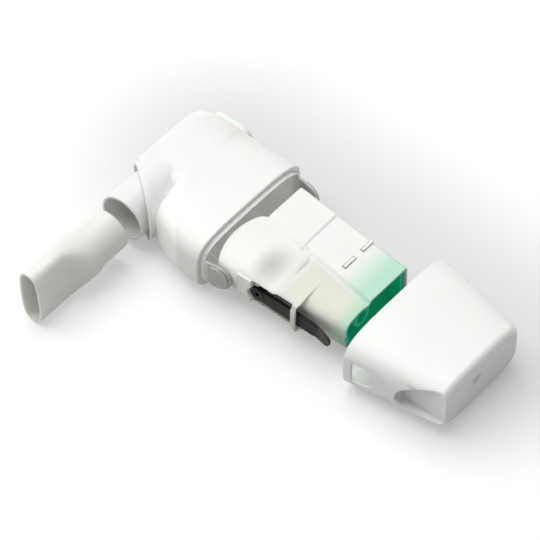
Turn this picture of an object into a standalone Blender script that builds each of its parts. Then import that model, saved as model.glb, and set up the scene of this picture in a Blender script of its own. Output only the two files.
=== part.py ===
"""Oscillating positive expiratory pressure device, laid out in its separate pieces.

Units: the values below are millimetres, and MM turns them into metres. +X runs from the front casing
to the rear casing, -Y is the side with the mouthpiece and the control lever, +Z is up. The origin is on
the flat underside of the front casing, ORIGIN_INSET behind its rim. Pieces are modelled round the
device's mid height, each in the frame of its own group.
"""
import math

import bmesh
import bpy
from mathutils import Vector

MM = 0.001

# Casing
CASING_WIDTH = 75.0          # across Y at the rim where the two casings meet
CASING_HEIGHT = 34.0
CORNER_POWER = 3.8           # softness of the section's corners
CASING_WALL = 2.0
ORIGIN_INSET = 8.0           # from the front casing's rim back to the origin
CLEARANCE = 0.3              # between pieces that seat on each other
SLIDE_GAP = 0.5              # between pieces that slide past each other

# Front casing
PASSAGE_X = -48.3            # axis of the rounded end, from the rim
TAPER_START = 6.0            # the near side turns in from here
TAPER_END = 31.8             # and ends in a crease beside the collar here
TAPER_DEPTH = 7.3
TAPER_POWER = 1.6
CREASE_WIDTH = 4.0           # from the crease to where the near side is inside the collar
FAR_CORNER = 6.0             # plan radius of the far corner of the rounded end
BULKHEAD_X = -29.2           # inner face of the wall between cavity and air passage
LIP_REACH = 2.5              # spigot lip past the rim
LIP_WALL = 0.8
LIP_POWER = 4.2              # its bore is squarer than the casing, to let the cartridge pass
COLLAR_RADIUS = 16.6
COLLAR_LONG = -34.2          # mouth of the mitred collar on its +X side
COLLAR_SHORT = -8.6          # mouth of the collar on its -X side
COLLAR_ROOT = -14.0          # where the rounded end turns into the collar
COLLAR_STEP = 2.4            # width of the slimmer band round the mouth
COLLAR_STEP_DEPTH = 0.5
COLLAR_WALL = 1.6
PORT_OUTER = 12.5
PORT_BORE = 11.3
PORT_RIM = -35.3             # y of the port tube's rim
PORT_WEB = -6.5              # y of the web that carries the port tube
RIB_THICKNESS = 1.2

# Inhalation port on the far side
INTAKE_X = -42.0
INTAKE_RADIUS = 9.6
INTAKE_BOSS = 12.0           # half width of the soft square boss
INTAKE_POWER = 4.0
INTAKE_REACH = 1.7           # boss past the far wall
INTAKE_EDGE = 1.3            # rounding of its rim
INTAKE_SEAT = 2.9            # valve seat, in from the far wall's face
FLAP_THICKNESS = 1.0
FLAP_LAP = 0.9               # flap past the edge of the hole

# Snap tongues and the windows that they click into
TONGUE_REACH = 17.0
TONGUE_HALF = 6.8
TONGUE_THICKNESS = 1.2
PAD_START = 6.6
PAD_END = 15.6
PAD_HALF = 6.2
PAD_RAISE = 1.1
WINDOW_GAP = 0.35

# Mouthpiece
MOUTHPIECE_END = -43.6       # y of its round end, laid out in front of the port
MOUTHPIECE_LENGTH = 55.5
SPIGOT_RADIUS = 10.9
SPIGOT_LENGTH = 15.0
SPIGOT_TAPER = 0.15
SHANK_RADIUS = 12.2
BITE_HALF_HEIGHT = 15.6
BITE_HALF_WIDTH = 6.2
BITE_BLEND = 14.0            # length over which the round shank turns into the oval
BITE_POWER = 3.0
BITE_TURN = 4.0              # degrees that it is turned in the layout
MOUTHPIECE_WALL = 1.2

# Cartridge
CART_X = 7.0                 # front end in the layout, from the front casing's rim
CART_LENGTH = 71.5
CART_WALL = 1.2
CART_TOP_FRONT = 12.5        # top of the block, from the middle plane, at the front end
CART_TOP_REAR = 11.9
CART_LOW_FRONT = 12.3        # underside
CART_LOW_REAR = 11.4
CART_FAR_FRONT = 27.0
CART_FAR_REAR = 21.0
CART_FAR_CORNER = 5.0        # lower far edge
PANEL_FRONT = 26.6           # side panel that the lever runs along
PANEL_REAR = 24.2
SIDE_FRONT = 31.4            # near side, outside the lever's recess
SIDE_REAR = 31.2
SIDE_FOOT = 9.0              # how far the near side turns in towards the underside
FRONT_SET_BACK = 3.5         # the block's front end behind the dome's
FRONT_BULGE = 4.0            # the dome's front end in the middle, past its near corner
DOME_POWER = 2.7             # softness of the dome's section
DOME_SPRING = 4.5            # height where the dome's curve starts
BARREL_SPRING = 3.0
BARREL_CORNER = 9.0          # lower near edge behind the strap
DOME_STEP = 34.0             # where the dome steps down to the smaller barrel
STEP_DROP = 1.5
BLOCK_STEP = 27.0            # where the block steps down
BLOCK_DROP = 0.8
BLOCK_CORNER = 2.0
JOIN_FRONT = 2.5             # crease between dome and block
JOIN_REAR = -7.0
JOIN_DEPTH_FRONT = 0.7
JOIN_DEPTH_REAR = 1.8
RECESS_START = 12.5          # recess in the near side, round the lever
RECESS_LOW = -6.5
RECESS_HIGH = 8.2
HUB_X = 23.3                 # axis of lever and rotor, from the cartridge's front end
INLET_LOW = 5.0
INLET_HIGH = 21.0
INLET_HALF = 8.0
SLOT_X = 49.5
SLOT_Y = (5.5, 18.8)         # middles of the two slots
SLOT_LENGTH = 8.4
SLOT_WIDTH = 2.4
STRAP_X = 45.8
STRAP_WIDTH = 2.6
STRAP_THICKNESS = 1.2

# Lever, rotor and nozzle
LEVER_FACE = 29.4            # outer face of the lever, towards -Y
LEVER_THICKNESS = 1.6
LEVER_REACH = 44.0
LEVER_ARM_HALF = 3.9
LEVER_HUB = 3.9
LEVER_TIP_HALF = 3.3
LEVER_TIP_START = 34.0       # the finger tip starts to curve outward here
LEVER_TIP_OUT = 1.6
HUB_RING_WALL = 1.0          # raised ring of the shells round the lever's hub
HUB_RING_GAP = 0.6
SHAFT_RADIUS = 1.5
SLEEVE_WALL = 1.0
BOSS_WALL = 1.3
RESTRICTOR_RADIUS = 9.4
VANE_RADIUS = 9.9
BLADE = 1.2
FRAME_RADIUS = 11.1
FRAME_WALL = 0.9
DIVIDER_Y = -2.0
NOZZLE_LENGTH = 14.2
NOZZLE_INSET = 1.3           # from the cartridge's rear end
NOZZLE_WALL = 2.0
ORIFICE_Y = -8.6
ORIFICE_RADIUS = 3.6
ORIFICE_TUBE = 5.4

# Rear casing
REAR_X = 88.2                # rim in the layout, from the front casing's rim
REAR_LENGTH = 51.5
REAR_END_NEAR = 30.0
REAR_END_FAR = 27.0
REAR_END_HALF_HEIGHT = 14.6
REAR_STRAIGHT = 8.0
REAR_ROUND = 2.8
REAR_TAPER_POWER = 1.2
SCOOP_START = 27.0           # front of the finger scoop, from the rim
SCOOP_MIDDLE = -3.0          # height of its front
SCOOP_RISE = 14.6            # it widens upward in a quarter ellipse
SCOOP_DROP = 5.3             # and downward in a quarter circle
SCOOP_FLOOR = 27.2
SCOOP_WALL = 1.4
WINDOW_LENGTH = 10.0         # opening for the lever, past the scoop's front
POCKET_END = 22.5
POCKET_DEPTH = 0.6
POCKET_HALF = 8.6
DIMPLE_RADIUS = 5.0
DIMPLE_DEPTH = 1.0
DIMPLE_Y = -4.0

NOZZLE_END = CART_LENGTH - NOZZLE_INSET
NOZZLE_START = NOZZLE_END - NOZZLE_LENGTH
HALF_W = CASING_WIDTH / 2
HALF_H = CASING_HEIGHT / 2


def clear_scene():
    for obj in list(bpy.data.objects):
        bpy.data.objects.remove(obj, do_unlink=True)


def material(name, colour, roughness, alpha=1.0):
    mat = bpy.data.materials.new(name)
    mat.use_nodes = True
    shader = mat.node_tree.nodes["Principled BSDF"]
    shader.inputs["Base Color"].default_value = (*colour, 1.0)
    shader.inputs["Roughness"].default_value = roughness
    shader.inputs["Metallic"].default_value = 0.0
    shader.inputs["Alpha"].default_value = alpha
    return mat


def group(name, x, y, z, parent=None):
    """An empty that carries the pieces of one moving body, at its joint."""
    empty = bpy.data.objects.new(name, None)
    bpy.context.scene.collection.objects.link(empty)
    empty.location = Vector((x, y, z)) * MM
    empty.parent = parent
    return empty


def mix(a, b, t):
    return a + (b - a) * t


def ease(t):
    t = min(1.0, max(0.0, t))
    return t * t * (3.0 - 2.0 * t)


def loft(name, rings, parent, mat=None):
    """A closed body through rings of points; without a material it is a cutter."""
    bm = bmesh.new()
    loops = [[bm.verts.new(Vector(p) * MM) for p in ring] for ring in rings]
    for first, second in zip(loops, loops[1:]):
        for k in range(len(first)):
            j = (k + 1) % len(first)
            bm.faces.new((first[k], first[j], second[j], second[k]))
    bm.faces.new(loops[0][::-1])
    bm.faces.new(loops[-1])
    bmesh.ops.recalc_face_normals(bm, faces=bm.faces)
    mesh = bpy.data.meshes.new(name)
    bm.to_mesh(mesh)
    bm.free()
    mesh.shade_smooth()
    mesh.set_sharp_from_angle(angle=math.radians(38))
    obj = bpy.data.objects.new(name, mesh)
    bpy.context.scene.collection.objects.link(obj)
    obj.parent = parent
    if mat:
        mesh.materials.append(mat)
    else:
        obj.hide_render = True
        obj.display_type = "WIRE"
    return obj


def along_x(outline, x):
    return [(x, y, z) for y, z in outline]


def along_y(outline, y):
    return [(x, y, z) for x, z in outline]


def prism_x(name, outline, low, high, parent, mat=None):
    """An outline of (y, z) points, extruded along X."""
    return loft(name, [along_x(outline, low), along_x(outline, high)], parent, mat)


def prism_y(name, outline, low, high, parent, mat=None):
    """An outline of (x, z) points, extruded along Y."""
    return loft(name, [along_y(outline, low), along_y(outline, high)], parent, mat)


def prism_z(name, outline, low, high, parent, mat=None):
    """An outline of (x, y) points, extruded along Z."""
    rings = [[(x, y, z) for x, y in outline] for z in (low, high)]
    return loft(name, rings, parent, mat)


def box(name, x, y, z, parent, mat=None):
    outline = [(y[0], z[0]), (y[1], z[0]), (y[1], z[1]), (y[0], z[1])]
    return prism_x(name, outline, x[0], x[1], parent, mat)


def circle(cx, cz, radius, count=32):
    turn = 2 * math.pi / count
    return [(cx + radius * math.cos(turn * (k + 0.5)), cz + radius * math.sin(turn * (k + 0.5)))
            for k in range(count)]


def arc(cx, cy, rx, ry, start, end, steps):
    """Points of an elliptical arc, angles in degrees."""
    points = []
    for k in range(steps + 1):
        a = math.radians(mix(start, end, k / steps))
        points.append((cx + rx * math.cos(a), cy + ry * math.sin(a)))
    return points


def oval(half_w, half_h, mid=0.0, power=CORNER_POWER, count=40):
    """Soft rectangle with a flat in the middle of each side, the casings' section."""
    points = []
    for k in range(count):
        a = 2 * math.pi * (k + 0.5) / count
        y = math.copysign(abs(math.cos(a)) ** (2 / power), math.cos(a))
        z = math.copysign(abs(math.sin(a)) ** (2 / power), math.sin(a))
        points.append((y, z))
    reach = max(y for y, _ in points)
    return [(mid + half_w * y / reach, half_h * z / reach) for y, z in points]


def boolean(obj, tool, operation):
    modifier = obj.modifiers.new(tool.name, "BOOLEAN")
    modifier.operation = operation
    modifier.solver = "EXACT"
    modifier.object = tool


def cut(obj, *tools):
    for tool in tools:
        boolean(obj, tool, "DIFFERENCE")


def fuse(obj, *tools):
    for tool in tools:
        boolean(obj, tool, "UNION")


# Casing shapes

def near_side(x):
    """y of the front casing's near wall, which tapers in and ends in a crease beside the collar."""
    share = min(1.0, max(0.0, (-x - TAPER_START) / (TAPER_END - TAPER_START)))
    wall = -HALF_W + TAPER_DEPTH * share ** TAPER_POWER
    return mix(wall, COLLAR_ROOT, ease((-x - TAPER_END) / CREASE_WIDTH))


def front_ring(x, inset, power=CORNER_POWER):
    near = near_side(x) + inset
    far = HALF_W - inset
    return along_x(oval((far - near) / 2, HALF_H - inset, (far + near) / 2, power), x)


def front_end_ring(angle):
    """Ring of the rounded end, at an angle past the passage axis."""
    a = math.radians(angle)
    near = near_side(PASSAGE_X) + FAR_CORNER * (1 - math.cos(a))
    far = HALF_W - FAR_CORNER * (1 - math.cos(a))
    outline = oval((far - near) / 2, HALF_H * math.cos(a), (far + near) / 2)
    return along_x(outline, PASSAGE_X - HALF_H * math.sin(a))


def tongue_outline(start, end, half):
    """D shape in (x, z): flat at its start, round at its end."""
    return [(start, -half)] + arc(end - half, 0, half, half, -90, 90, 10) + [(start, half)]


def front_casing(parent, mat):
    taper = [-mix(TAPER_START, TAPER_END, k / 5) for k in range(6)]
    crease = [-TAPER_END - CREASE_WIDTH * share for share in (0.25, 0.5, 0.75, 1.0)]
    rings = [front_ring(x, 0) for x in [0] + taper + crease + [PASSAGE_X]]
    rings += [front_end_ring(a) for a in (18, 34, 49, 63, 76, 86)]
    body = loft("front_casing", rings, parent, mat)

    def round_tool(name, radius, low, high, count=48):
        return prism_y(name, circle(PASSAGE_X, 0, radius, count), low, high, parent)

    def mouth_tool(name, back):
        """Everything in front of the mitred mouth, moved back along Y."""
        left, right = PASSAGE_X - COLLAR_RADIUS, PASSAGE_X + COLLAR_RADIUS + CLEARANCE
        slope = (COLLAR_LONG - COLLAR_SHORT) / (2 * COLLAR_RADIUS)
        over = 8.0
        outline = [(left - over, COLLAR_SHORT - slope * over + back),
                   (right, COLLAR_SHORT + slope * (right - left) + back), (right, -CASING_WIDTH),
                   (left - over, -CASING_WIDTH)]
        return prism_z(name, outline, -HALF_H - 3, HALF_H + 3, parent)

    fuse(body, round_tool("collar", COLLAR_RADIUS, COLLAR_LONG - 2, COLLAR_ROOT + 8))
    cut(body, mouth_tool("collar_mouth", 0.0))
    band = mouth_tool("collar_band", COLLAR_STEP)
    cut(band, round_tool("collar_band_core", COLLAR_RADIUS - COLLAR_STEP_DEPTH, -CASING_WIDTH - 1, 0))
    cut(body, band)
    cut(body, round_tool("collar_bore", COLLAR_RADIUS - COLLAR_WALL, -CASING_WIDTH, PORT_WEB - 1))
    fuse(body, round_tool("port_tube", PORT_OUTER, PORT_RIM, PORT_WEB + 0.5))

    cavity = [1] + [x for x in taper if x > BULKHEAD_X + 1] + [BULKHEAD_X]
    cut(body, loft("front_cavity", [front_ring(x, CASING_WALL) for x in cavity], parent))
    inner = HALF_H - CASING_WALL
    wall_x = BULKHEAD_X - CASING_WALL
    passage = arc(PASSAGE_X, 0, inner, inner, 90, 270, 20) + [(wall_x, -inner), (wall_x, inner)]
    cut(body, prism_y("air_passage", passage, PORT_WEB + 1, HALF_W - 10.5, parent))
    cut(body, round_tool("port_bore", PORT_BORE, PORT_RIM - 1, PORT_WEB + 2, 40))
    cut(body, box("bulkhead_window", (wall_x - 1, BULKHEAD_X + 1), (INLET_LOW, INLET_HIGH),
                  (-INLET_HALF, INLET_HALF), parent))

    deep = CASING_WALL - 0.4
    seat = CASING_WALL + SLIDE_GAP
    lip_rings = [front_ring(x, inset) for x, inset in
                 ((-3, deep), (-0.7, deep), (-0.6, seat), (LIP_REACH, seat))]
    lip = loft("spigot_lip", lip_rings, parent)
    bore = [front_ring(x, seat + LIP_WALL, LIP_POWER) for x in (-4, LIP_REACH + 1)]
    cut(lip, loft("lip_bore", bore, parent))
    fuse(body, lip)

    outer = HALF_W - CASING_WALL - SLIDE_GAP - 0.15
    inner_face = outer - TONGUE_THICKNESS
    for side, name, end in ((-1, "near", REAR_END_NEAR), (1, "far", REAR_END_FAR)):
        lean = (HALF_W - rear_side(TONGUE_REACH, end)) / TONGUE_REACH

        def leaning(label, outline, low, high):
            """A prism along Y that leans in with the rear casing's wall."""
            rings = [[(x, side * (y - lean * x), z) for x, z in outline] for y in (low, high)]
            return loft(name + label, rings, parent)

        tongue = tongue_outline(-4, TONGUE_REACH, TONGUE_HALF)
        fuse(body, leaning("_tongue", tongue, inner_face, outer))
        root = (side * (inner_face + 0.3), side * (outer + 1.4))
        fuse(body, box(name + "_root", (-6, -1.2), (min(root), max(root)),
                       (-TONGUE_HALF - 0.3, TONGUE_HALF + 0.3), parent))
        pad = tongue_outline(PAD_START, PAD_END, PAD_HALF)
        fuse(body, leaning("_pad", pad, outer - 0.5, outer + PAD_RAISE))

    rib_tip = CART_FAR_FRONT + CLEARANCE * 3
    for k, z in enumerate((-7.0, 0.0, 7.0)):
        fuse(body, box("far_rib_%d" % k, (BULKHEAD_X - 0.5, -6.5), (rib_tip, HALF_W - deep),
                       (z - RIB_THICKNESS / 2, z + RIB_THICKNESS / 2), parent))
    for k, y in enumerate((-16.0, 0.0, 16.0)):
        fuse(body, box("floor_rib_%d" % k, (BULKHEAD_X - 0.5, -4),
                       (y - RIB_THICKNESS / 2, y + RIB_THICKNESS / 2),
                       (-HALF_H + deep, -CART_LOW_FRONT - CLEARANCE), parent))

    boss = []
    for y, less in ((HALF_W - INTAKE_SEAT - 1.6, 0.0), (HALF_W + INTAKE_REACH - INTAKE_EDGE, 0.0),
                    (HALF_W + INTAKE_REACH - 0.4 * INTAKE_EDGE, 0.3 * INTAKE_EDGE),
                    (HALF_W + INTAKE_REACH, INTAKE_EDGE)):
        boss.append(along_y(oval(INTAKE_BOSS - less, INTAKE_BOSS - less, INTAKE_X, INTAKE_POWER, 36), y))
    fuse(body, loft("intake_boss", boss, parent))
    swing = INTAKE_RADIUS + FLAP_LAP + 0.7
    cut(body, prism_y("flap_room", circle(INTAKE_X, 0, swing, 32), HALF_W - 12, HALF_W - INTAKE_SEAT,
                      parent))
    cut(body, prism_y("intake_hole", circle(INTAKE_X, 0, INTAKE_RADIUS, 32), HALF_W - 4,
                      HALF_W + INTAKE_REACH + 1, parent))
    for k in range(3):
        z = (k - 1) * INTAKE_RADIUS * 0.62
        fuse(body, box("intake_bar_%d" % k, (INTAKE_X - INTAKE_RADIUS - 0.8, INTAKE_X + INTAKE_RADIUS + 0.8),
                       (HALF_W - 1.6, HALF_W + 0.4), (z - 0.8, z + 0.8), parent))
    return body


def intake_flap(parent, mat):
    """Silicone one-way flap inside the inhalation port; its group sits on its hinge edge."""
    radius = INTAKE_RADIUS + FLAP_LAP
    outline = circle(0, -radius, radius, 32)
    return prism_y("inhalation_valve_flap", outline, 0, FLAP_THICKNESS, parent, mat)


def mouthpiece(parent, mat):
    def ring(y, inset):
        along = -y
        if along < SPIGOT_LENGTH:
            round_r = SPIGOT_RADIUS + SPIGOT_TAPER * along / SPIGOT_LENGTH
        else:
            round_r = mix(SPIGOT_RADIUS + SPIGOT_TAPER, SHANK_RADIUS, ease((along - SPIGOT_LENGTH) / 5))
        t = ease((along - SPIGOT_LENGTH - 7) / (BITE_BLEND))
        wide = mix(round_r, BITE_HALF_WIDTH, t) - inset
        tall = mix(round_r, BITE_HALF_HEIGHT, t) - inset
        turn = math.radians(BITE_TURN)
        outline = oval(wide, tall, 0, mix(2.0, BITE_POWER, t), 36)
        return [(x * math.cos(turn) - z * math.sin(turn), y, x * math.sin(turn) + z * math.cos(turn))
                for x, z in outline]
    steps = [0, 7.5, SPIGOT_LENGTH, SPIGOT_LENGTH + 2, SPIGOT_LENGTH + 4.5, SPIGOT_LENGTH + 8]
    start = steps[-1]
    steps += [mix(start, MOUTHPIECE_LENGTH, k / 8) for k in range(1, 9)]
    body = loft("mouthpiece", [ring(-s, 0) for s in steps], parent, mat)
    inner = [-1] + steps[1:-1] + [MOUTHPIECE_LENGTH + 1]
    cut(body, loft("mouthpiece_bore", [ring(-s, MOUTHPIECE_WALL) for s in inner], parent))
    return body


# Cartridge

def cart_top(x):
    return mix(CART_TOP_FRONT, CART_TOP_REAR, x / CART_LENGTH)


def cart_low(x):
    return mix(CART_LOW_FRONT, CART_LOW_REAR, x / CART_LENGTH)


def cart_far(x):
    return mix(CART_FAR_FRONT, CART_FAR_REAR, x / CART_LENGTH)


def cart_panel(x):
    return -mix(PANEL_FRONT, PANEL_REAR, x / CART_LENGTH)


def strap_end():
    return STRAP_X + STRAP_WIDTH / 2


def cart_side(x):
    """y of the near side outside the lever's recess."""
    return -mix(SIDE_FRONT, SIDE_REAR, x / strap_end())


def cart_ring(x, inset, near, spring, foot):
    """Section of the cartridge: a dome on the near side, a flat-topped block on the far side.

    near is the y of the near side, spring the height where the dome starts, and foot the size (y, z)
    of the curve from the near side to the underside.
    """
    top, low, far = cart_top(x) - inset, cart_low(x) - inset, cart_far(x) - inset
    share = x / CART_LENGTH
    join = mix(JOIN_FRONT, JOIN_REAR, share)
    block = top - (0.0 if x < BLOCK_STEP else BLOCK_DROP)
    dome = top - (0.0 if x < DOME_STEP else STEP_DROP)
    corner = CART_FAR_CORNER
    points = arc(near + foot[0], -low + foot[1], foot[0], foot[1], 180, 270, 6)
    points += arc(far - corner, -low + corner, corner, corner, 270, 360, 4)
    points += arc(far - BLOCK_CORNER, block - BLOCK_CORNER, BLOCK_CORNER, BLOCK_CORNER, 0, 90, 3)
    points += [(join + 1.6, block), (join, block - mix(JOIN_DEPTH_FRONT, JOIN_DEPTH_REAR, share))]
    peak = join - 4.0
    for k in range(10):
        a = math.pi / 2 * k / 9
        y = peak + (near - peak) * math.sin(a) ** (2 / DOME_POWER)
        points.append((y, spring + (dome - spring) * max(0.0, math.cos(a)) ** (2 / DOME_POWER)))
    return along_x(points, x)


def cart_front_ring(x):
    """Section where the near side stands out round the lever's recess."""
    return cart_ring(x, 0, cart_side(x), DOME_SPRING, (SIDE_FOOT, cart_low(x) + DOME_SPRING - 1))


def cart_barrel_ring(x, inset):
    """Section whose near side is the panel that the lever runs along."""
    corner = BARREL_CORNER - inset
    return cart_ring(x, inset, cart_panel(x) + inset, BARREL_SPRING, (corner, corner))


def cart_nose(name, back, parent):
    """Everything in front of the cartridge's front end, whose dome bulges past the block."""
    outline = [(-20.0, 60.0), (FRONT_SET_BACK + back, 60.0), (FRONT_SET_BACK + back, JOIN_FRONT)]
    for k in range(9):
        share = k / 8
        y = mix(JOIN_FRONT - 2.0, -SIDE_FRONT, share)
        x = mix(FRONT_SET_BACK - 2.5, 1.0, share) - FRONT_BULGE * math.sin(math.pi * share) ** 0.8
        outline.append((x + back, y))
    outline += [(4.0 + back, -SIDE_FRONT - 3.0), (-20.0, -SIDE_FRONT - 3.0)]
    return prism_z(name, outline, -30, 30, parent)


def cart_body(name, parent, mat):
    ahead = -FRONT_BULGE - 2.0
    end = strap_end()
    front = (ahead, 12, BLOCK_STEP - 0.5, BLOCK_STEP + 0.5, DOME_STEP - 1, DOME_STEP + 1, end)
    rear = (end + 0.05, NOZZLE_START, CART_LENGTH)
    rings = [cart_front_ring(x) for x in front] + [cart_barrel_ring(x, 0) for x in rear]
    body = loft(name, rings, parent, mat)
    cut(body, cart_nose(name + "_nose", 0.0, parent))

    inner = front[:-1] + rear
    rings = [cart_barrel_ring(x, CART_WALL) for x in inner]
    rings.append([(x + 1, y, z) for x, y, z in rings[-1]])
    cavity = loft(name + "_cavity", rings, parent)
    cut(cavity, cart_nose(name + "_front_wall", CART_WALL, parent))
    cut(body, cavity)
    cut(body, lever_recess(name + "_recess", parent))
    return body


def lever_recess(name, parent):
    """Pocket of the near side that the lever swings in, from its hub to the strap."""
    rings = []
    for x in (RECESS_START, strap_end() + 1):
        panel = cart_panel(x)
        rings.append([(x, -HALF_W, RECESS_LOW), (x, panel, RECESS_LOW), (x, panel, RECESS_HIGH),
                      (x, -HALF_W, RECESS_HIGH)])
    return loft(name, rings, parent)


def cart_divider(name, parent):
    """Wall between the restrictor's chamber and the vane's chamber."""
    rings = []
    low, high = DIVIDER_Y - 0.6, DIVIDER_Y + 0.6
    for x, depth in ((FRONT_SET_BACK - 3.0, JOIN_DEPTH_FRONT), (DOME_STEP - 2, JOIN_DEPTH_REAR)):
        under, top = -cart_low(x) + CART_WALL - 0.3, cart_top(x) - depth
        rings.append([(x, low, under), (x, high, under), (x, high, top), (x, low, top)])
    wall = loft(name + "_divider", rings, parent)
    cut(wall, prism_y(name + "_divider_hole", circle(HUB_X, 0, SHAFT_RADIUS + 1.0, 20), -4, 0, parent))
    return wall


def cart_details(body, name, parent):
    """Boss for the lever's sleeve, boss for the far bush, divider, inlet and the split."""
    sleeve = SHAFT_RADIUS + CLEARANCE + SLEEVE_WALL
    bush_radius = sleeve + CLEARANCE + BOSS_WALL
    panel = cart_panel(HUB_X)
    ring_radius = LEVER_HUB + HUB_RING_GAP
    ring = prism_y(name + "_hub_ring", circle(HUB_X, 0, ring_radius + HUB_RING_WALL, 32),
                   -LEVER_FACE + LEVER_THICKNESS / 2, panel + 0.5, parent)
    cut(ring, prism_y(name + "_hub_room", circle(HUB_X, 0, ring_radius, 32), -HALF_W, panel, parent))
    cut(ring, box(name + "_arm_gap", (HUB_X, HUB_X + 10), (-HALF_W, panel), (-8, 8), parent))
    fuse(body, ring)
    inner = prism_y(name + "_hub_boss", circle(HUB_X, 0, bush_radius, 28), panel + 0.6, panel + 2.6, parent)
    fuse(body, inner)
    cut(body, prism_y(name + "_hub_hole", circle(HUB_X, 0, sleeve + CLEARANCE, 24), panel - 3, panel + 4,
                      parent))
    far = cart_far(HUB_X)
    fuse(body, prism_y(name + "_bush_boss", circle(HUB_X, 0, bush_radius, 28), far - 3.4, far - 0.6,
                       parent))
    cut(body, prism_y(name + "_bush_seat", circle(HUB_X, 0, sleeve + CLEARANCE, 24), far - 5,
                      far - CART_WALL, parent))
    fuse(body, cart_divider(name, parent))
    cut(body, box(name + "_inlet", (FRONT_SET_BACK - 1, FRONT_SET_BACK + CART_WALL + 1.5),
                  (INLET_LOW, INLET_HIGH), (-INLET_HALF, INLET_HALF), parent))


def lever_strap(parent):
    """Hoop that holds the lever in, from the rail over the recess to the ledge under it."""
    outer = -SIDE_REAR
    inner = outer + STRAP_THICKNESS
    root = outer + 3.2
    outline = [(outer, RECESS_HIGH - 2), (outer, RECESS_LOW + 0.3), (outer + 1, RECESS_LOW - 1.5),
               (root, RECESS_LOW - 2.1), (root, RECESS_LOW), (inner, RECESS_LOW),
               (inner, RECESS_HIGH), (root, RECESS_HIGH), (root, RECESS_HIGH + 1.2),
               (outer + 1.6, RECESS_HIGH + 0.8)]
    return prism_x("lever_strap", outline, STRAP_X - STRAP_WIDTH / 2, strap_end() - 0.02, parent)


def cartridge_upper(parent, mat):
    name = "cartridge_upper_shell"
    body = cart_body(name, parent, mat)
    cart_details(body, name, parent)
    fuse(body, lever_strap(parent))
    cut(body, box("upper_split", (-8, CART_LENGTH + 2), (-HALF_W, HALF_W), (-20, CLEARANCE / 2),
                  parent))
    for k, y in enumerate(SLOT_Y):
        cut(body, box("slot_window_%d" % k, (SLOT_X - SLOT_WIDTH / 2, SLOT_X + SLOT_WIDTH / 2),
                      (y - SLOT_LENGTH / 2, y + SLOT_LENGTH / 2), (5, 16), parent))
    return body


def cartridge_lower(parent, mat):
    name = "cartridge_lower_shell"
    body = cart_body(name, parent, mat)
    cart_details(body, name, parent)
    lower_strap = lever_strap(parent)
    lower_strap.name = "lever_strap_foot"
    fuse(body, lower_strap)
    cut(body, box("lower_split", (-8, CART_LENGTH + 2), (-HALF_W, HALF_W), (-CLEARANCE / 2, 20),
                  parent))
    return body


def variable_nozzle(parent, mat):
    """Silicone insert in the rear end of the cartridge: a cup with a round orifice tube."""
    seat = CART_WALL + CLEARANCE
    stations = (NOZZLE_START, NOZZLE_END)
    body = loft("variable_nozzle", [cart_barrel_ring(x, seat) for x in stations], parent, mat)
    floor = NOZZLE_START + NOZZLE_WALL
    cup = [cart_barrel_ring(x, seat + NOZZLE_WALL) for x in (floor, NOZZLE_END)]
    cup.append([(x + 1, y, z) for x, y, z in cup[-1]])
    cut(body, loft("nozzle_cup", cup, parent))

    def round_x(name, radius, low, high, count=28):
        outline = [(ORIFICE_Y + y, z) for y, z in circle(0, 0, radius, count)]
        return prism_x(name, outline, low, high, parent)

    fuse(body, round_x("orifice_tube", ORIFICE_TUBE, floor - 0.5, NOZZLE_END - 1.5))
    cut(body, round_x("orifice", ORIFICE_RADIUS, NOZZLE_START - 1, NOZZLE_END + 1))
    return body


# Lever and rotor, in the frame of the hub

def control_lever(parent, mat):
    """Flat arm on a round hub, with a finger tip that curves outward."""
    arm, tip = LEVER_ARM_HALF, LEVER_TIP_HALF
    rings = []
    for x, half in ((1.0, arm * 0.9), (12.0, arm), (LEVER_TIP_START - 6, arm), (LEVER_TIP_START - 1, arm),
                    (LEVER_TIP_START + 1, tip), (LEVER_REACH - 6, tip), (LEVER_REACH - 3, tip * 0.92),
                    (LEVER_REACH - 1, tip * 0.72), (LEVER_REACH, tip * 0.4)):
        out = LEVER_TIP_OUT * ease((x - LEVER_TIP_START) / (LEVER_REACH - LEVER_TIP_START))
        face = -LEVER_FACE - out
        rings.append([(x, face, -half), (x, face, half), (x, face + LEVER_THICKNESS, half),
                      (x, face + LEVER_THICKNESS, -half)])
    body = loft("control_lever", rings, parent, mat)
    inner_face = -LEVER_FACE + LEVER_THICKNESS
    fuse(body, prism_y("lever_hub", circle(0, 0, LEVER_HUB, 32), -LEVER_FACE - 0.3, inner_face, parent))
    bore = SHAFT_RADIUS + CLEARANCE
    end = cart_panel(HUB_X) + 5.2
    fuse(body, prism_y("lever_sleeve", circle(0, 0, bore + SLEEVE_WALL, 24), inner_face - 0.5, end, parent))
    cut(body, prism_y("sleeve_bore", circle(0, 0, bore, 20), inner_face - 0.6, end + 1, parent))
    cut(body, prism_y("hub_eye", circle(0, 0, 1.2, 16), -LEVER_FACE - 1, inner_face, parent))
    return body


def adjustment_frame(parent, mat):
    """Arc shield that the lever swings in front of the restrictor."""
    sleeve = SHAFT_RADIUS + CLEARANCE + SLEEVE_WALL
    low = cart_panel(HUB_X) + 3.6
    rim = arc(0, 0, FRAME_RADIUS, FRAME_RADIUS, 145, 215, 10)
    hub = arc(0, 0, sleeve + 1.6, sleeve + 1.6, -110, 110, 14)
    body = prism_y("adjustment_frame", rim + hub, low, low + 1.2, parent, mat)
    cut(body, prism_y("frame_eye", circle(0, 0, sleeve + CLEARANCE, 24), low - 1, low + 3, parent))
    band = rim + arc(0, 0, FRAME_RADIUS - FRAME_WALL, FRAME_RADIUS - FRAME_WALL, 215, 145, 10)
    fuse(body, prism_y("shield", band, low + 0.5, DIVIDER_Y - 1.4, parent))
    return body


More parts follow.
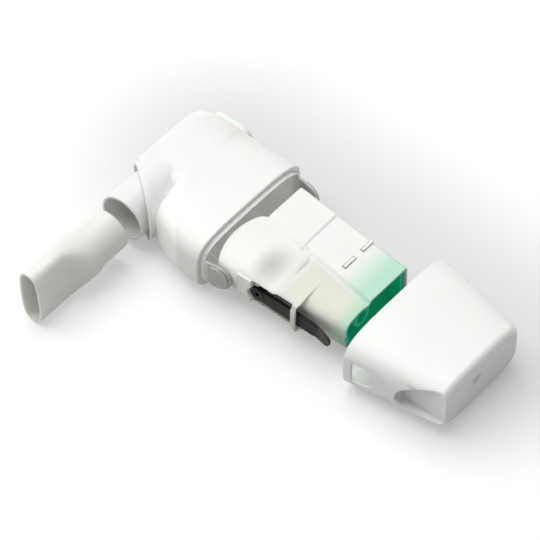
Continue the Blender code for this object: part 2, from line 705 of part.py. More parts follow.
def bladed(name, radius, low, high, tilt, parent, mat):
    """Two opposite blades on a tube that sits on the shaft."""
    bore = SHAFT_RADIUS + CLEARANCE
    body = prism_y(name, circle(0, 0, bore + 0.9, 24), low, high, parent, mat)
    a = math.radians(tilt)
    across = (-math.sin(a) * BLADE / 2, math.cos(a) * BLADE / 2)
    tip = (math.cos(a) * radius, math.sin(a) * radius)
    plate = [(tip[0] - across[0], tip[1] - across[1]), (tip[0] + across[0], tip[1] + across[1]),
             (-tip[0] + across[0], -tip[1] + across[1]), (-tip[0] - across[0], -tip[1] - across[1])]
    fuse(body, prism_y(name + "_blade", plate, low + 0.4, high - 0.4, parent))
    cut(body, prism_y(name + "_bore", circle(0, 0, bore, 20), low - 1, high + 1, parent))
    return body


def rotor_shaft(parent, mat):
    far = cart_far(HUB_X) - CART_WALL - SLIDE_GAP
    near = -LEVER_FACE + LEVER_THICKNESS + CLEARANCE
    return prism_y("rotor_shaft", circle(0, 0, SHAFT_RADIUS, 20), near, far, parent, mat)


def far_bush(parent, mat):
    bore = SHAFT_RADIUS + CLEARANCE
    end = cart_far(HUB_X) - CART_WALL - CLEARANCE
    outline = circle(HUB_X, 0, bore + SLEEVE_WALL, 24)
    body = prism_y("shaft_bush", outline, end - 2.4, end, parent, mat)
    cut(body, prism_y("bush_bore", circle(HUB_X, 0, bore, 20), end - 4, end + 1, parent))
    return body


# Rear casing

def rear_side(x, end):
    """How far the rear casing reaches on one side, where it reaches end at its closed end."""
    return HALF_W - (HALF_W - end) * max(0.0, x / REAR_LENGTH) ** REAR_TAPER_POWER


def rear_ring(x, inset, at=None):
    near, far = rear_side(x, REAR_END_NEAR) - inset, rear_side(x, REAR_END_FAR) - inset
    outline = oval((near + far) / 2, rear_half_h(x) - inset, (far - near) / 2)
    return along_x(outline, x if at is None else at)


def rear_half_h(x):
    t = max(0.0, (x - REAR_STRAIGHT) / (REAR_LENGTH - REAR_STRAIGHT))
    return HALF_H - (HALF_H - REAR_END_HALF_HEIGHT) * t


def rear_rings(inset, start):
    end = REAR_LENGTH - inset
    radius = REAR_ROUND - inset if REAR_ROUND > inset else 0.3
    straight = end - radius
    rings = [rear_ring(x, inset) for x in [start] + [mix(REAR_STRAIGHT, straight, k / 4) for k in range(5)]]
    for angle in (24, 46, 66, 84):
        a = math.radians(angle)
        rings.append(rear_ring(straight + radius * math.sin(a), inset + radius * (1 - math.cos(a))))
    return rings


def scoop_outline(grow):
    """Outline in (x, z) of the finger scoop, which widens towards the closed end."""
    rise, drop = SCOOP_RISE + grow, SCOOP_DROP + grow
    end = REAR_LENGTH + 4
    points = [(end, SCOOP_MIDDLE + rise)]
    points += arc(REAR_LENGTH, SCOOP_MIDDLE, REAR_LENGTH - SCOOP_START + grow, rise, 90, 180, 12)
    points += arc(SCOOP_START + SCOOP_DROP, SCOOP_MIDDLE, drop, drop, 190, 270, 6)
    return points + [(end, SCOOP_MIDDLE - drop)]


def rear_casing(parent, mat):
    body = loft("rear_casing", rear_rings(0, 0), parent, mat)
    cut(body, loft("rear_cavity", rear_rings(CASING_WALL, -1), parent))

    backing = prism_y("scoop_backing", scoop_outline(SCOOP_WALL), -HALF_W - 5, -SCOOP_FLOOR + SCOOP_WALL,
                      parent)
    boolean(backing, loft("scoop_limit", rear_rings(0.4, 1), parent), "INTERSECT")
    fuse(body, backing)
    cut(body, prism_y("scoop", scoop_outline(0), -HALF_W - 5, -SCOOP_FLOOR, parent))
    outer = LEVER_FACE + LEVER_TIP_OUT + SLIDE_GAP
    cut(body, box("lever_window", (SCOOP_START - 4, SCOOP_START + WINDOW_LENGTH),
                  (-outer, -SCOOP_FLOOR - 0.25),
                  (SCOOP_MIDDLE - SCOOP_DROP + 0.3, RECESS_HIGH + 1.1), parent))

    channel = HALF_W - CASING_WALL - SLIDE_GAP + PAD_RAISE + WINDOW_GAP
    for side, name, end in ((-1, "near", REAR_END_NEAR), (1, "far", REAR_END_FAR)):
        start = PAD_START - 2.6
        wall = rear_side(start, end)
        lean = (wall - rear_side(POCKET_END, end)) / (POCKET_END - start)
        pocket = [[(x, side * (wall - lean * (x - start) + out), z)
                   for x, z in tongue_outline(start, POCKET_END, POCKET_HALF)]
                  for out in (-POCKET_DEPTH, 5.0)]
        cut(body, loft(name + "_pocket", pocket, parent))
        window = tongue_outline(PAD_START - WINDOW_GAP, PAD_END + WINDOW_GAP, PAD_HALF + WINDOW_GAP)
        cut(body, prism_y(name + "_window", window, side * (HALF_W - 6), side * (HALF_W + 5), parent))
        span = (side * (HALF_W - 5), side * channel)
        cut(body, box(name + "_channel", (-1, PAD_START + 2), (min(span), max(span)),
                      (-PAD_HALF - WINDOW_GAP, PAD_HALF + WINDOW_GAP), parent))

    ball = (DIMPLE_RADIUS ** 2 + DIMPLE_DEPTH ** 2) / (2 * DIMPLE_DEPTH)
    centre = REAR_LENGTH - DIMPLE_DEPTH + ball
    rings = []
    for k in range(5):
        x = REAR_LENGTH - DIMPLE_DEPTH * (1 - k / 2.6)
        r = math.sqrt(max(0.25, ball ** 2 - (centre - x) ** 2))
        rings.append([(x, DIMPLE_Y + y, z) for y, z in circle(0, 0, r, 24)])
    cut(body, loft("end_dimple", rings, parent))
    return body


def build():
    clear_scene()
    white = (0.86, 0.87, 0.86)
    rim = ORIGIN_INSET
    front = group("front_body", rim, 0, HALF_H)
    port = group("port_axis", rim + PASSAGE_X, MOUTHPIECE_END, HALF_H)
    cart = group("cartridge_slide", rim + CART_X, 0, HALF_H)
    rear = group("rear_slide", rim + REAR_X, 0, HALF_H)
    lever = group("lever_axis", HUB_X, 0, 0, cart)
    rotor = group("rotor_axis", HUB_X, 0, 0, cart)
    hinge_z = INTAKE_RADIUS + FLAP_LAP
    flap_y = HALF_W - INTAKE_SEAT - CLEARANCE - FLAP_THICKNESS
    flap = group("flap_hinge", rim + INTAKE_X, flap_y, HALF_H + hinge_z)

    front_casing(front, material("front_white", white, 0.45))
    intake_flap(flap, material("valve_silicone", (0.72, 0.68, 0.60), 0.55))
    mouthpiece(port, material("mouthpiece_white", (0.80, 0.79, 0.73), 0.4))
    cartridge_upper(cart, material("upper_frosted", (0.80, 0.80, 0.76), 0.5, 0.6))
    cartridge_lower(cart, material("lower_frosted", (0.78, 0.79, 0.75), 0.5, 0.6))
    variable_nozzle(cart, material("nozzle_green", (0.0, 0.35, 0.2), 0.5))
    far_bush(cart, material("bush_white", (0.75, 0.75, 0.72), 0.4))
    control_lever(lever, material("lever_black", (0.02, 0.02, 0.02), 0.4))
    adjustment_frame(lever, material("frame_black", (0.025, 0.025, 0.025), 0.45))
    rotor_shaft(rotor, material("shaft_grey", (0.3, 0.3, 0.3), 0.4))
    bladed("restrictor", RESTRICTOR_RADIUS, cart_panel(HUB_X) + 7.0, DIVIDER_Y - 1.4, 35, rotor,
           material("restrictor_grey", (0.25, 0.26, 0.27), 0.45))
    bladed("vane", VANE_RADIUS, DIVIDER_Y + 1.4, cart_far(HUB_X) - 4.4, 125, rotor,
           material("vane_grey", (0.27, 0.28, 0.29), 0.45))
    rear_casing(rear, material("rear_white", white, 0.45))


build()
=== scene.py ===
"""Looks of the oscillating positive expiratory pressure device, laid out on a pale table.

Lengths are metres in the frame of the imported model, unless their comment says millimetres: +X runs from
the front casing to the rear casing, -Y is the side with the mouthpiece and the lever, +Z is up and the
table is at z = 0.
"""
import math

import bpy
from mathutils import Matrix, Vector


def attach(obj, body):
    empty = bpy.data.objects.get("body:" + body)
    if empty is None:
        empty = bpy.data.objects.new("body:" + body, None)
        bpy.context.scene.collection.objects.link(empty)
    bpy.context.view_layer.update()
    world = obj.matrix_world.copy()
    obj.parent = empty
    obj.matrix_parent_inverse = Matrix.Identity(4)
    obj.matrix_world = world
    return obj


MM = 0.001
ALONG_X = (1, 0, 0)
ALONG_Y = (0, 1, 0)
ALONG_Z = (0, 0, 1)

# Camera, fitted to the photograph
SENSOR = 36.0                                  # mm
LENS = 245.33                                  # mm
CAMERA_PLACE = Vector((0.7424, -0.8521, 1.3328))
CAMERA_AZIMUTH = 40.25                         # degrees round the object
CAMERA_ELEVATION = 50.17                       # degrees above the table
CLIP_START = 0.1
CLIP_END = 20.0

# Table
FLOOR_REACH = 3.0                              # from the middle to each side
FLOOR_DROP = 0.0002                            # keeps the table just under the device's underside
FLOOR_COLOUR = (0.56, 0.56, 0.56)
FLOOR_GLOW = 0.43                              # lifts the floor to white for the camera, under its shadows
FLOOR_ROUGH = 0.9
FLOOR_GLOSS = 0.1
FLOOR_SHADOW_FROM = (-0.03, 0.03)                      # painted shadow: soft grey on the floor along the far side of the device
FLOOR_SHADOW_TO = (0.135, 0.03)
FLOOR_SHADOW_CORE = 0.015                              # distance within which it is at its darkest
FLOOR_SHADOW_REACH = 0.11
FLOOR_SHADOW_DEPTH = 0.27

# Light
KEY_TOWARDS = (0.44, 0.03, -1.0)
KEY_SPREAD = 62.0                              # degrees
KEY_STRENGTH = 2.65
KEY_COLOUR = (1.0, 1.0, 0.99)
SKY_STRENGTH = 0.36
SKY_COLOUR = (1.0, 1.0, 0.985, 1.0)

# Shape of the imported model, for masks that follow it
CREASE_ANGLE = 36.0                            # degrees, edges sharper than this stay sharp
WELD_GAP = 0.000002
CART_START = 15.0 * MM                         # front end of the cartridge along X
CART_LENGTH = 71.5 * MM
JOIN_START = 2.5 * MM                          # y of the crease between its dome and block, front end
JOIN_END = -7.0 * MM
CASING_HALF_W = 37.5 * MM                      # soft rectangle of the casings' section
CASING_HALF_H = 17.0 * MM
CASING_POWER = 3.8
WALL_MIDDLE = 1.0 * MM                         # depth of the middle of the casings' walls
FRONT_RIM = 0.0085                             # x of the front casing's rim

# Plastics: a colour and the tone it wanders to
WHITE = ((0.845, 0.85, 0.835), (0.825, 0.832, 0.818))
CREAM = ((0.84, 0.835, 0.79), (0.82, 0.81, 0.765))
BUSH_WHITE = ((0.74, 0.74, 0.70), (0.71, 0.71, 0.67))
FRAME_BLACK = ((0.018, 0.019, 0.022), (0.012, 0.013, 0.016))
ROTOR_DARK = ((0.05, 0.052, 0.055), (0.04, 0.041, 0.045))
LEVER_BLACK = ((0.009, 0.0095, 0.011), (0.006, 0.0065, 0.008))
LEVER_WORN = (0.045, 0.045, 0.044)
GREEN = ((0.012, 0.70, 0.40), (0.010, 0.64, 0.36))
BEIGE = ((0.66, 0.61, 0.52), (0.62, 0.57, 0.48))
FROST = ((0.97, 0.97, 0.94), (0.95, 0.95, 0.915))

# Relief: waves per metre and depth
FINE_GRAIN = (1400.0, 0.000012)                # spark-eroded
COARSE_GRAIN = (900.0, 0.00002)
FLOW = (45.0, 0.00012)                         # waviness that moulding leaves
FROST_GRAIN = (1200.0, 0.00001)
FROST_FLOW = (60.0, 0.0001)
SILICONE_GRAIN = (700.0, 0.00001)

# Parts of a noise's range that tone and roughness follow
TONE_RANGE = (0.35, 0.65)
RUB_RANGE = (0.3, 0.7)

# How light goes through: share that goes in, reach, and the reach's share for red, green and blue
PLASTIC_SPREAD = (1.0, 0.95, 0.8)
CASING_SCATTER = (0.55, 0.0035, PLASTIC_SPREAD)
MOUTHPIECE_SCATTER = (0.5, 0.003, PLASTIC_SPREAD)
FROST_SCATTER = (0.5, 0.002, (1.0, 1.0, 0.9))
SILICONE_REACH = 0.0015
SILICONE_SPREAD = (0.3, 1.0, 0.6)
FROST_TRANSMISSION = 0.10
PLASTIC_IOR = 1.49
FROST_IOR = 1.3
SILICONE_IOR = 1.41
LEVER_GLOSS = 0.14

# Places on the front casing
LIP_SHADE_TONE = (0.43, 0.435, 0.42)                 # painted shade on the lip and tongues, past the rim
LIP_SHADE_FADE = (0.001, 0.005)                      # from the rim along X
INTAKE_TONE = ((0.80, 0.745, 0.68), 0.6)       # tone and its strength
INTAKE_SPOT = ((-0.0265, 0.0310, 0.033), (0.0085, 0.0045, 0.012), 0.45)
MOUTH_GLOW = 0.095                             # painted light: emission standing in for light through the walls into the casing's mouth
MOUTH_GLOW_COLOUR = (0.92, 0.92, 0.85, 1.0)
MOUTH_DEEP = (-0.026, -0.018)                  # x where it fades out towards the bulkhead
MOUTH_RIM_FADE = 0.003
SKIN_FADE = (1.03, 0.97)                       # outside to inside of the middle of the wall

# Shaded places on the rear casing: centre, radii, strength
REAR_HOLLOWS = (
    ((0.1472, -0.0040, 0.0185), (0.0030, 0.0042, 0.0042), 0.45),      # dimple in its end
    ((0.1023, -0.0352, 0.0170), (0.0011, 0.0032, 0.0075), 0.75),      # edge of the near snap window
    ((0.1228, -0.0305, 0.0135), (0.0022, 0.0042, 0.0060), 0.60),      # front of the finger scoop
)
HOLLOW_TONE = (0.30, 0.30, 0.28)
HOLLOW_CORE = 0.4

# Places on the cartridge: where each tone fades in, and the tone with its strength
OFF_BLOCK_FADE = (0.002, -0.003)               # across the crease between dome and block
BARREL_FADE = (0.046, 0.054)
BARREL_TONE = (0.80, 0.795, 0.715)             # at full strength
SIDE_SHADE_FADE = (0.024, 0.012)                     # painted shade, darker downwards on the barrel's near side
SIDE_SHADE_TONE = ((0.80, 0.785, 0.70), 0.7)
# painted shade on the near side's rear panel, behind the lever
PANEL_SHADE_FADE = (0.058, 0.064)
PANEL_SHADE_TONE = ((0.64, 0.63, 0.56), 0.8)
ROTOR_SPOT = ((0.0385, -0.0185, 0.026), (0.0120, 0.0170, 0.015), 0.05)
ROTOR_TONE = ((0.42, 0.425, 0.405), 0.70)
MINT_BLOCK_FADE = (0.063, 0.082)
MINT_BARREL_FADE = (0.076, 0.0885)
MINT_TONE = ((0.42, 0.76, 0.56), 0.8)
# painted shade on the mint, low on the near side
MINT_SHADE_FADE = (0.0795, 0.0870)
MINT_SHADE_TONE = ((0.20, 0.52, 0.36), 0.6)

# Worn tip of the lever
LEVER_TIP_FADE = (0.0725, 0.0765)
SCUFF_RANGE = (0.35, 0.7)
SCUFF_STRENGTH = (0.75, 1.0)

# Filler at the front end of the lever's recess, millimetres
RECESS_HUB = (38.3, 17.0)
RECESS_CLEAR = 4.7
ARC_START = -125                               # degrees
ARC_TURN = 110                                 # degrees
ARC_STEPS = 12
RECESS_FRONT = 27.2
RECESS_FRONT_LOW = 12.4
RECESS_CORNER_LOW = 10.5
RECESS_TOP = 25.35
RECESS_SIDES = (-31.3, -28.4)

# Snap hooks in the two slots on top of the cartridge, millimetres
HOOKS_X = 64.5
HOOKS_Y = {"hook_tab_near": 5.5, "hook_tab_far": 18.8}
HOOK_HALF = (0.75, 3.7)
HOOK_FOOT = 22.0
HOOK_TOP = 28.8
EDGE_ROUNDING = 0.25

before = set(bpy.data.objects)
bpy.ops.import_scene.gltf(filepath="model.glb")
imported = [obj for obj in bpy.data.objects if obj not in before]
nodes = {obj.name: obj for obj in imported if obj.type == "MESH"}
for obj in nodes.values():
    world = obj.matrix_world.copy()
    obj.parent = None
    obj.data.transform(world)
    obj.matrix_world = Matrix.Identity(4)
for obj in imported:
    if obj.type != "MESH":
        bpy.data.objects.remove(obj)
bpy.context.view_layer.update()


# Node helpers

def new_material(name):
    mat = bpy.data.materials.new(name)
    mat.use_nodes = True
    tree = mat.node_tree
    return mat, tree, tree.nodes["Principled BSDF"]


def place(tree):
    """Object coordinates, which are the row frame's metres on every piece of the model."""
    return tree.nodes.new("ShaderNodeTexCoord").outputs["Object"]


def noise(tree, scale, detail, roughness=0.5):
    """Noise whose scale counts waves per metre."""
    field = tree.nodes.new("ShaderNodeTexNoise")
    field.inputs["Scale"].default_value = scale
    field.inputs["Detail"].default_value = detail
    field.inputs["Roughness"].default_value = roughness
    tree.links.new(place(tree), field.inputs["Vector"])
    return field.outputs["Fac"]


def ramp(tree, source, low, high, start=0.0, end=1.0, easing="LINEAR"):
    """Maps source from low..high to start..end, held at both ends."""
    node = tree.nodes.new("ShaderNodeMapRange")
    node.interpolation_type = easing
    limits = {"From Min": low, "From Max": high, "To Min": start, "To Max": end}
    for name, value in limits.items():
        node.inputs[name].default_value = value
    tree.links.new(source, node.inputs["Value"])
    return node.outputs["Result"]


def soft_step(tree, source, low, high):
    """0 at low, rising softly to 1 at high, which may be the lower number."""
    return ramp(tree, source, low, high, easing="SMOOTHSTEP")


def combine(tree, operation, first, second=0.0):
    """Math on two sockets, or on a socket and a number."""
    node = tree.nodes.new("ShaderNodeMath")
    node.operation = operation
    for value, socket in ((first, node.inputs[0]), (second, node.inputs[1])):
        if isinstance(value, (int, float)):
            socket.default_value = value
        else:
            tree.links.new(value, socket)
    return node.outputs[0]


def times(tree, first, second):
    return combine(tree, "MULTIPLY", first, second)


def vector_math(tree, operation, source, constant=None):
    node = tree.nodes.new("ShaderNodeVectorMath")
    node.operation = operation
    tree.links.new(source, node.inputs[0])
    if constant is not None:
        node.inputs[1].default_value = constant
    return node.outputs


def along(tree, direction, offset=0.0):
    """Distance in metres along a direction, less an offset."""
    dot = vector_math(tree, "DOT_PRODUCT", place(tree), direction)["Value"]
    return combine(tree, "SUBTRACT", dot, offset)


def fade(tree, direction, limits):
    """0 to 1 between two distances along a direction."""
    return soft_step(tree, along(tree, direction), *limits)


def soft_spot(tree, centre, radii, core):
    """1 within core, a share of the radii, falling softly to 0 on an ellipsoid round the centre."""
    away = vector_math(tree, "SUBTRACT", place(tree), centre)["Vector"]
    scaled = vector_math(tree, "DIVIDE", away, radii)["Vector"]
    distance = vector_math(tree, "LENGTH", scaled)["Value"]
    return ramp(tree, distance, core, 1.0, 1.0, 0.0, "SMOOTHSTEP")


def blend_colours(tree, factor, first, second):
    """Colour between first and second, which are colours or sockets."""
    node = tree.nodes.new("ShaderNodeMix")
    node.data_type = "RGBA"
    tree.links.new(factor, node.inputs[0])
    for value, socket in ((first, node.inputs[6]), (second, node.inputs[7])):
        if isinstance(value, tuple):
            socket.default_value = (*value, 1.0)
        else:
            tree.links.new(value, socket)
    return node.outputs[2]


def tint(tree, colour, mask, tone, strength):
    """Takes the colour towards a tone by strength where the mask is 1."""
    return blend_colours(tree, times(tree, mask, strength), colour, tone)


def mottled(tree, tones, scale, detail):
    """Wanders unevenly between two tones."""
    wander = ramp(tree, noise(tree, scale, detail), *TONE_RANGE)
    return blend_colours(tree, wander, *tones)


def uneven_roughness(tree, shader, scale, smoothest, roughest):
    rub = noise(tree, scale, 4.0, 0.6)
    tree.links.new(ramp(tree, rub, *RUB_RANGE, smoothest, roughest), shader.inputs["Roughness"])


def scatter(shader, weight, reach, spread):
    shader.inputs["Subsurface Weight"].default_value = weight
    shader.inputs["Subsurface Radius"].default_value = spread
    shader.inputs["Subsurface Scale"].default_value = reach


def bumps(tree, shader, *layers):
    """Stacks layers of relief, the detail of its noise and its strength into the shader's normal."""
    normal = None
    for (scale, depth), detail, strength in layers:
        node = tree.nodes.new("ShaderNodeBump")
        node.inputs["Distance"].default_value = depth
        node.inputs["Strength"].default_value = strength
        tree.links.new(noise(tree, scale, detail), node.inputs["Height"])
        if normal:
            tree.links.new(normal, node.inputs["Normal"])
        normal = node.outputs["Normal"]
    tree.links.new(normal, shader.inputs["Normal"])


# Materials

def front_paint(tree, colour):
    """Painted shade on the lip and the tongues past the rim, and a beige spot at the intake."""
    # painted shade on the lip and tongues past the rim
    lip_shade = fade(tree, ALONG_X, [FRONT_RIM + step for step in LIP_SHADE_FADE])
    colour = blend_colours(tree, lip_shade, colour, LIP_SHADE_TONE)
    return tint(tree, colour, soft_spot(tree, *INTAKE_SPOT), *INTAKE_TONE)


def rear_paint(tree, colour):
    """Shade in the rear casing's hollows."""
    for centre, radii, strength in REAR_HOLLOWS:
        hollow = soft_spot(tree, centre, radii, HOLLOW_CORE)
        colour = tint(tree, colour, hollow, HOLLOW_TONE, strength)
    return colour


def inside_casing(tree):
    """1 on the inner side of the casings' walls, 0 on their outer side."""
    powers = []
    for direction, middle, half in ((ALONG_Y, 0.0, CASING_HALF_W),
                                    (ALONG_Z, CASING_HALF_H, CASING_HALF_H)):
        away = combine(tree, "ABSOLUTE", along(tree, direction, middle))
        share = combine(tree, "DIVIDE", away, half - WALL_MIDDLE)
        powers.append(combine(tree, "POWER", share, CASING_POWER))
    return soft_step(tree, combine(tree, "ADD", *powers), *SKIN_FADE)


def mouth_glow(tree, shader):
    """Painted light: an emission in the front casing's mouth that stands in for light coming through its
    walls.
    """
    behind_rim = fade(tree, ALONG_X, (FRONT_RIM, FRONT_RIM - MOUTH_RIM_FADE))
    cavity = times(tree, behind_rim, fade(tree, ALONG_X, MOUTH_DEEP))
    glow = times(tree, times(tree, inside_casing(tree), cavity), MOUTH_GLOW)
    tree.links.new(glow, shader.inputs["Emission Strength"])
    shader.inputs["Emission Color"].default_value = MOUTH_GLOW_COLOUR


def moulded(name, tones, rough, grain=FINE_GRAIN, scattered=None, paint=None, glow=None):
    """Injection moulded plastic: a faint uneven tone, fine spark-eroded grain and a soft flow waviness.
    paint changes the colour by place, painted shade included, and glow adds painted light, an emission
    standing in for light that comes through the walls."""
    mat, tree, shader = new_material(name)
    colour = mottled(tree, tones, 38.0, 2.0)
    if paint:
        colour = paint(tree, colour)
    tree.links.new(colour, shader.inputs["Base Color"])
    uneven_roughness(tree, shader, 120.0, rough - 0.05, rough + 0.06)
    shader.inputs["IOR"].default_value = PLASTIC_IOR
    if scattered:
        scatter(shader, *scattered)
    if glow:
        glow(tree, shader)
    bumps(tree, shader, (grain, 2.0, 0.35), (FLOW, 1.0, 0.15))
    return mat


def frosted(name):
    """Milky polypropylene: whiter over the block, greyer over the barrel, with painted shade down its near
    side, and the rotor and the green nozzle showing as blurs."""
    mat, tree, shader = new_material(name)
    slope = (JOIN_END - JOIN_START) / CART_LENGTH
    past_join = along(tree, (-slope, 1.0, 0.0), JOIN_START - slope * CART_START)
    off_block = soft_step(tree, past_join, *OFF_BLOCK_FADE)
    on_block = combine(tree, "SUBTRACT", 1.0, off_block)
    barrel = times(tree, off_block, fade(tree, ALONG_X, BARREL_FADE))
    # painted shade: darker down the barrel's near side, most on its rear panel and on the mint there
    side = times(tree, off_block, fade(tree, ALONG_Z, SIDE_SHADE_FADE))
    panel_shade = times(tree, side, fade(tree, ALONG_X, PANEL_SHADE_FADE))
    mint = combine(tree, "ADD", times(tree, fade(tree, ALONG_X, MINT_BLOCK_FADE), on_block),
                   times(tree, fade(tree, ALONG_X, MINT_BARREL_FADE), off_block))
    mint_shade = times(tree, fade(tree, ALONG_X, MINT_SHADE_FADE), side)

    colour = mottled(tree, FROST, 30.0, 2.0)
    colour = blend_colours(tree, barrel, colour, BARREL_TONE)
    # painted shade on the near side, its rear panel and the mint low on that side
    colour = tint(tree, colour, side, *SIDE_SHADE_TONE)
    colour = tint(tree, colour, panel_shade, *PANEL_SHADE_TONE)
    colour = tint(tree, colour, soft_spot(tree, *ROTOR_SPOT), *ROTOR_TONE)
    colour = tint(tree, colour, mint, *MINT_TONE)
    colour = tint(tree, colour, mint_shade, *MINT_SHADE_TONE)
    tree.links.new(colour, shader.inputs["Base Color"])

    uneven_roughness(tree, shader, 160.0, 0.42, 0.55)
    shader.inputs["IOR"].default_value = FROST_IOR
    shader.inputs["Transmission Weight"].default_value = FROST_TRANSMISSION
    scatter(shader, *FROST_SCATTER)
    bumps(tree, shader, (FROST_GRAIN, 2.0, 0.3), (FROST_FLOW, 1.0, 0.15))
    return mat


def silicone(name, tones, rough, scattered, glow=0.0):
    """Matt liquid silicone rubber, slightly see-through at thin edges; glow is painted light, an emission
    that stands in for the light through it.
    """
    mat, tree, shader = new_material(name)
    tree.links.new(mottled(tree, tones, 90.0, 3.0), shader.inputs["Base Color"])
    uneven_roughness(tree, shader, 260.0, rough - 0.06, rough + 0.08)
    shader.inputs["IOR"].default_value = SILICONE_IOR
    scatter(shader, scattered, SILICONE_REACH, SILICONE_SPREAD)
    shader.inputs["Emission Color"].default_value = (*tones[0], 1.0)
    shader.inputs["Emission Strength"].default_value = glow
    bumps(tree, shader, (SILICONE_GRAIN, 2.0, 0.3))
    return mat


def lever_plastic(name):
    """Black glass-filled plastic, rubbed greyer on the finger tip."""
    mat, tree, shader = new_material(name)
    scuff = ramp(tree, noise(tree, 420.0, 5.0, 0.7), *SCUFF_RANGE, *SCUFF_STRENGTH)
    worn = times(tree, fade(tree, ALONG_X, LEVER_TIP_FADE), scuff)
    colour = blend_colours(tree, worn, mottled(tree, LEVER_BLACK, 90.0, 3.0), LEVER_WORN)
    tree.links.new(colour, shader.inputs["Base Color"])
    uneven_roughness(tree, shader, 240.0, 0.32, 0.46)
    shader.inputs["Specular IOR Level"].default_value = LEVER_GLOSS
    bumps(tree, shader, (COARSE_GRAIN, 2.0, 0.35))
    return mat


def smooth_nodes():
    """Shading only: one smooth surface between creases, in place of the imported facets."""
    for node in nodes.values():
        mesh = node.data
        if mesh.attributes.get("custom_normal"):
            mesh.attributes.remove(mesh.attributes["custom_normal"])
        for polygon in mesh.polygons:
            polygon.use_smooth = True
        weld = node.modifiers.new("weld", "WELD")
        weld.merge_threshold = WELD_GAP
        crease = node.modifiers.new("crease", "EDGE_SPLIT")
        crease.split_angle = math.radians(CREASE_ANGLE)
        crease.use_edge_sharp = False
        weighted = node.modifiers.new("weighted", "WEIGHTED_NORMAL")
        weighted.mode = "FACE_AREA_WITH_ANGLE"
        weighted.keep_sharp = True


def finish_nodes(shell):
    """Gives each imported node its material; shell is the cartridge's."""
    dark = moulded("rotor_dark", ROTOR_DARK, 0.42, COARSE_GRAIN)
    finishes = {
        "front_casing": moulded("front_white", WHITE, 0.40, scattered=CASING_SCATTER,
                                paint=front_paint, glow=mouth_glow),
        "rear_casing": moulded("casing_white", WHITE, 0.40, scattered=CASING_SCATTER,
                               paint=rear_paint),
        "mouthpiece": moulded("mouthpiece_white", CREAM, 0.36, scattered=MOUTHPIECE_SCATTER),
        "cartridge_upper_shell": shell,
        "cartridge_lower_shell": shell,
        # the nozzle's glow of 0.05 is painted light
        "variable_nozzle": silicone("nozzle_green", GREEN, 0.45, 0.6, 0.05),
        "inhalation_valve_flap": silicone("flap_silicone", BEIGE, 0.5, 0.3),
        "shaft_bush": moulded("bush_white", BUSH_WHITE, 0.38),
        "control_lever": lever_plastic("lever_black"),
        "adjustment_frame": moulded("frame_black", FRAME_BLACK, 0.34, COARSE_GRAIN),
        "restrictor": dark,
        "vane": dark,
        "rotor_shaft": dark,
    }
    for name, mat in finishes.items():
        for slot in nodes[name].material_slots:
            slot.material = mat


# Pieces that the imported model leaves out

def solid_piece(name, outline, low, high, mat, body):
    """Closed block: an outline in (x, z) drawn out from y = low to y = high, in millimetres."""
    count = len(outline)
    points = [(x * MM, y * MM, z * MM) for y in (low, high) for x, z in outline]
    faces = [tuple(range(count)), tuple(reversed(range(count, 2 * count)))]
    faces += [(k, count + k, count + (k + 1) % count, (k + 1) % count) for k in range(count)]
    mesh = bpy.data.meshes.new(name)
    mesh.from_pydata(points, [], faces)
    mesh.validate()
    piece = bpy.data.objects.new(name, mesh)
    bpy.context.scene.collection.objects.link(piece)
    mesh.materials.append(mat)
    for polygon in mesh.polygons:
        polygon.use_smooth = True
    soft = piece.modifiers.new("edge", "BEVEL")
    soft.width = EDGE_ROUNDING * MM
    soft.segments = 2
    soft.harden_normals = True
    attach(piece, body)


def recess_end(mat):
    """Closes the lever's recess up to a round clearance about its hub."""
    hub_x, hub_z = RECESS_HUB
    arc = []
    for k in range(ARC_STEPS + 1):
        angle = math.radians(ARC_START - ARC_TURN * k / ARC_STEPS)
        arc.append((hub_x + RECESS_CLEAR * math.cos(angle), hub_z + RECESS_CLEAR * math.sin(angle)))
    outline = [(RECESS_FRONT, RECESS_FRONT_LOW), (arc[0][0], RECESS_CORNER_LOW), *arc,
               (arc[-1][0], RECESS_TOP), (RECESS_FRONT, RECESS_TOP)]
    solid_piece("recess_end", outline, *RECESS_SIDES, mat, "cartridge")


def hook_tabs(mat):
    """Heads of the two snap hooks that stand in the slots on top of the cartridge."""
    half_x, half_y = HOOK_HALF
    front, back = HOOKS_X - half_x, HOOKS_X + half_x
    outline = [(front, HOOK_FOOT), (back, HOOK_FOOT), (back, HOOK_TOP), (front, HOOK_TOP)]
    for name, y in HOOKS_Y.items():
        solid_piece(name, outline, y - half_y, y + half_y, mat, "cartridge")


# Stage, lights and camera

def outside_floor_shadow(tree):
    """Mask of the painted shadow on the floor: 0 along the far side of the device, rising softly to 1 on
    the clear floor.
    """
    start, end = Vector((*FLOOR_SHADOW_FROM, 0.0)), Vector((*FLOOR_SHADOW_TO, 0.0))
    way = (end - start).normalized()
    length = (end - start).length
    across = Vector((-way.y, way.x, 0.0))
    run = along(tree, way, start.dot(way))
    inside = combine(tree, "MINIMUM", combine(tree, "MAXIMUM", run, 0.0), length)
    past = combine(tree, "SUBTRACT", run, inside)
    side = along(tree, across, start.dot(across))
    squares = combine(tree, "ADD", times(tree, past, past), times(tree, side, side))
    return soft_step(tree, combine(tree, "SQRT", squares), FLOOR_SHADOW_CORE, FLOOR_SHADOW_REACH)


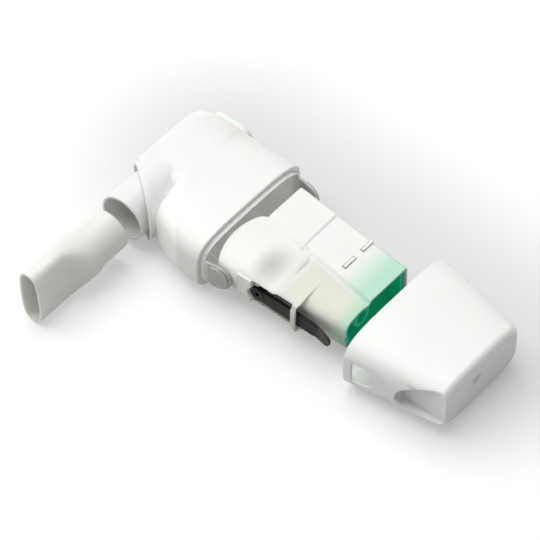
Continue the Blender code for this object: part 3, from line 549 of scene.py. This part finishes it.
def floor_material():
    """Pale matt table, white to the camera and in reflections, which keeps its shadows, with a painted
    shadow along the far side of the device.
    """
    mat, tree, shader = new_material("table_pale")
    shader.inputs["Roughness"].default_value = FLOOR_ROUGH
    shader.inputs["Specular IOR Level"].default_value = FLOOR_GLOSS
    # painted shadow: the floor's colour and its glow darken along the far side of the device
    clear = outside_floor_shadow(tree)
    shadow_colour = tuple(channel * (1 - FLOOR_SHADOW_DEPTH) for channel in FLOOR_COLOUR)
    tree.links.new(blend_colours(tree, clear, shadow_colour, FLOOR_COLOUR), shader.inputs["Base Color"])
    ray = tree.nodes.new("ShaderNodeLightPath").outputs
    seen = combine(tree, "MAXIMUM", ray["Is Camera Ray"], ray["Is Glossy Ray"])
    seen = combine(tree, "MAXIMUM", seen, ray["Is Transmission Ray"])
    glow = ramp(tree, clear, 0.0, 1.0, FLOOR_GLOW * (1 - FLOOR_SHADOW_DEPTH), FLOOR_GLOW)
    tree.links.new(times(tree, seen, glow), shader.inputs["Emission Strength"])
    shader.inputs["Emission Color"].default_value = (1.0, 1.0, 1.0, 1.0)
    return mat


def floor():
    corners = [(-1, -1), (1, -1), (1, 1), (-1, 1)]
    points = [(x * FLOOR_REACH, y * FLOOR_REACH, -FLOOR_DROP) for x, y in corners]
    mesh = bpy.data.meshes.new("table_top")
    mesh.from_pydata(points, [], [(0, 1, 2, 3)])
    plane = bpy.data.objects.new("table_top", mesh)
    bpy.context.scene.collection.objects.link(plane)
    mesh.materials.append(floor_material())


def key_light():
    """Even light from one side of the sky."""
    data = bpy.data.lights.new("key", "SUN")
    data.angle = math.radians(KEY_SPREAD)
    data.energy = KEY_STRENGTH
    data.color = KEY_COLOUR
    lamp = bpy.data.objects.new("key", data)
    bpy.context.scene.collection.objects.link(lamp)
    lamp.rotation_euler = Vector(KEY_TOWARDS).to_track_quat("-Z", "Y").to_euler()


def sky():
    world = bpy.context.scene.world or bpy.data.worlds.new("studio")
    bpy.context.scene.world = world
    world.use_nodes = True
    background = world.node_tree.nodes["Background"]
    background.inputs["Color"].default_value = SKY_COLOUR
    background.inputs["Strength"].default_value = SKY_STRENGTH


def camera():
    data = bpy.data.cameras.new("camera")
    data.sensor_width = SENSOR
    data.lens = LENS
    data.clip_start = CLIP_START
    data.clip_end = CLIP_END
    cam = bpy.data.objects.new("camera", data)
    bpy.context.scene.collection.objects.link(cam)
    azimuth = math.radians(CAMERA_AZIMUTH)
    elevation = math.radians(CAMERA_ELEVATION)
    back = Vector((math.sin(azimuth) * math.cos(elevation),
                   -math.cos(azimuth) * math.cos(elevation),
                   math.sin(elevation)))
    right = Vector((math.cos(azimuth), math.sin(azimuth), 0.0))
    up = back.cross(right)
    turn = Matrix((right, up, back)).transposed()
    cam.matrix_world = Matrix.Translation(CAMERA_PLACE) @ turn.to_4x4()
    bpy.context.scene.camera = cam


smooth_nodes()
shell_material = frosted("shell_frosted")
finish_nodes(shell_material)
recess_end(shell_material)
hook_tabs(shell_material)
floor()
key_light()
sky()
camera()
bpy.context.scene.view_settings.view_transform = "Standard"
